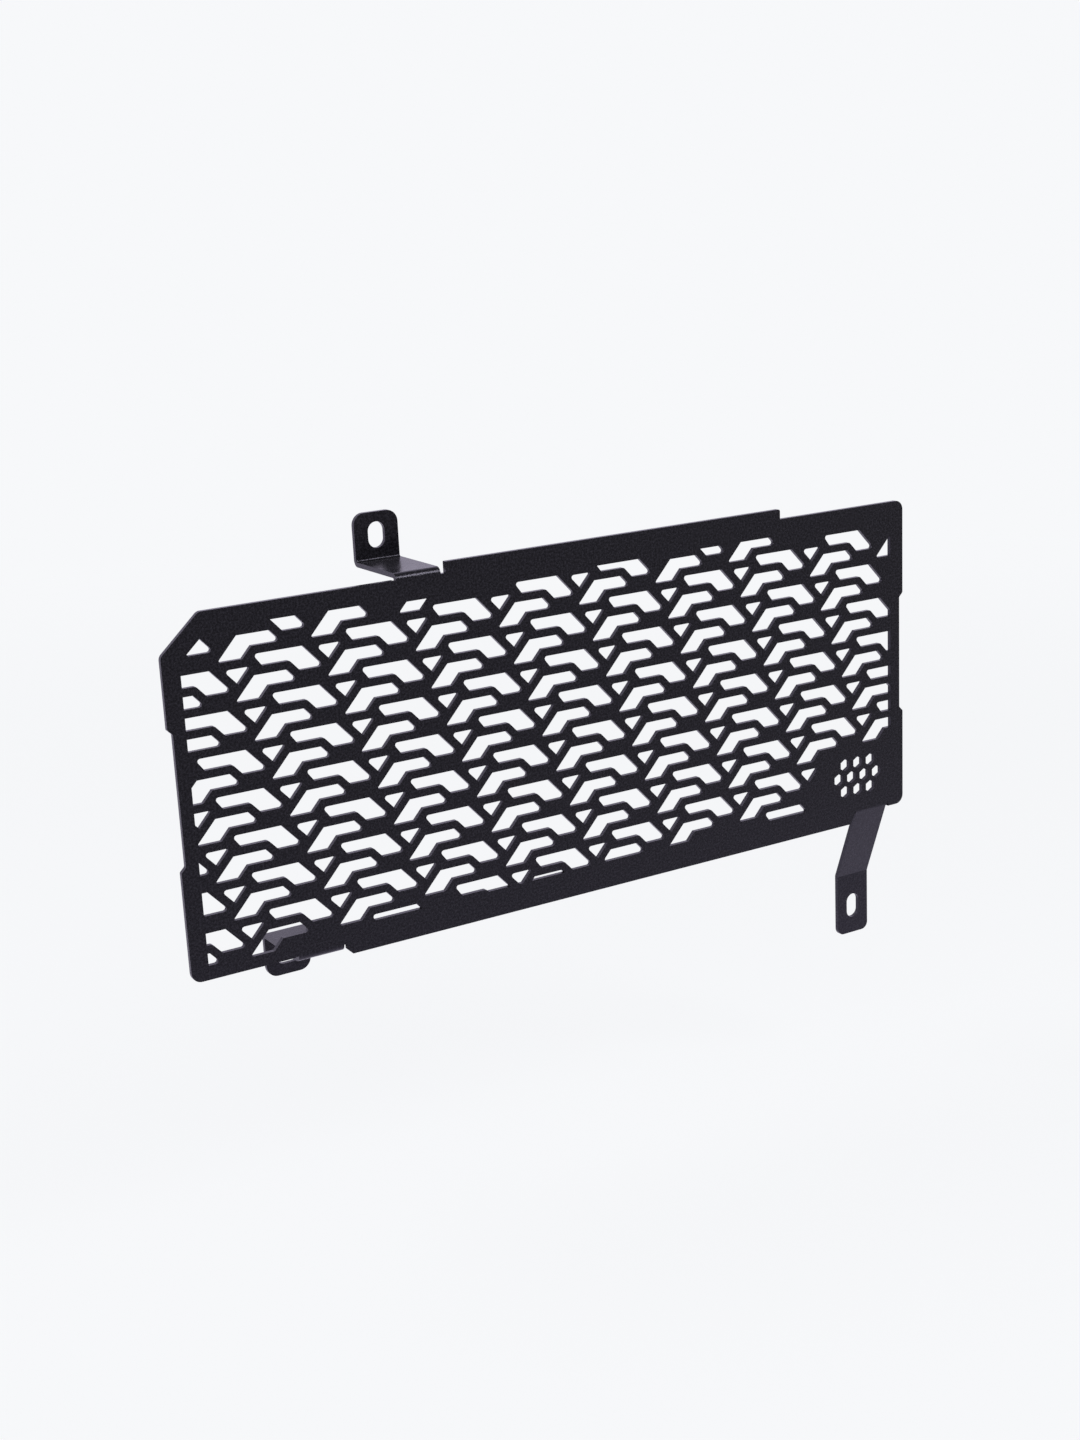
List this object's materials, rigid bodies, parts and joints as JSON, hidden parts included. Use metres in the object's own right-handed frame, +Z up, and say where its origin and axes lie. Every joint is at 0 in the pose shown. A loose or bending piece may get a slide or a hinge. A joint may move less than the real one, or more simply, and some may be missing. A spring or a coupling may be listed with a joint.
{
  "type": "motorcycle radiator guard",
  "caption": "Perforated radiator guard cut and folded from one black coated aluminium sheet, with slotted fixing tabs at the top and bottom edges and a slotted strap below.",
  "frame": {"origin": "middle of the top tab's slot, on the rear face of its ear, which seats on the bracket", "axes": "+X along the panel to the strap's side, +Y back towards the radiator, +Z up"},
  "size_m": [0.36, 0.0365, 0.2318],
  "materials": {
    "powder_coat": "satin, fine textured"
  },
  "bodies": {
    "root": {"guard": "powder_coat"}
  },
  "joints": []
}
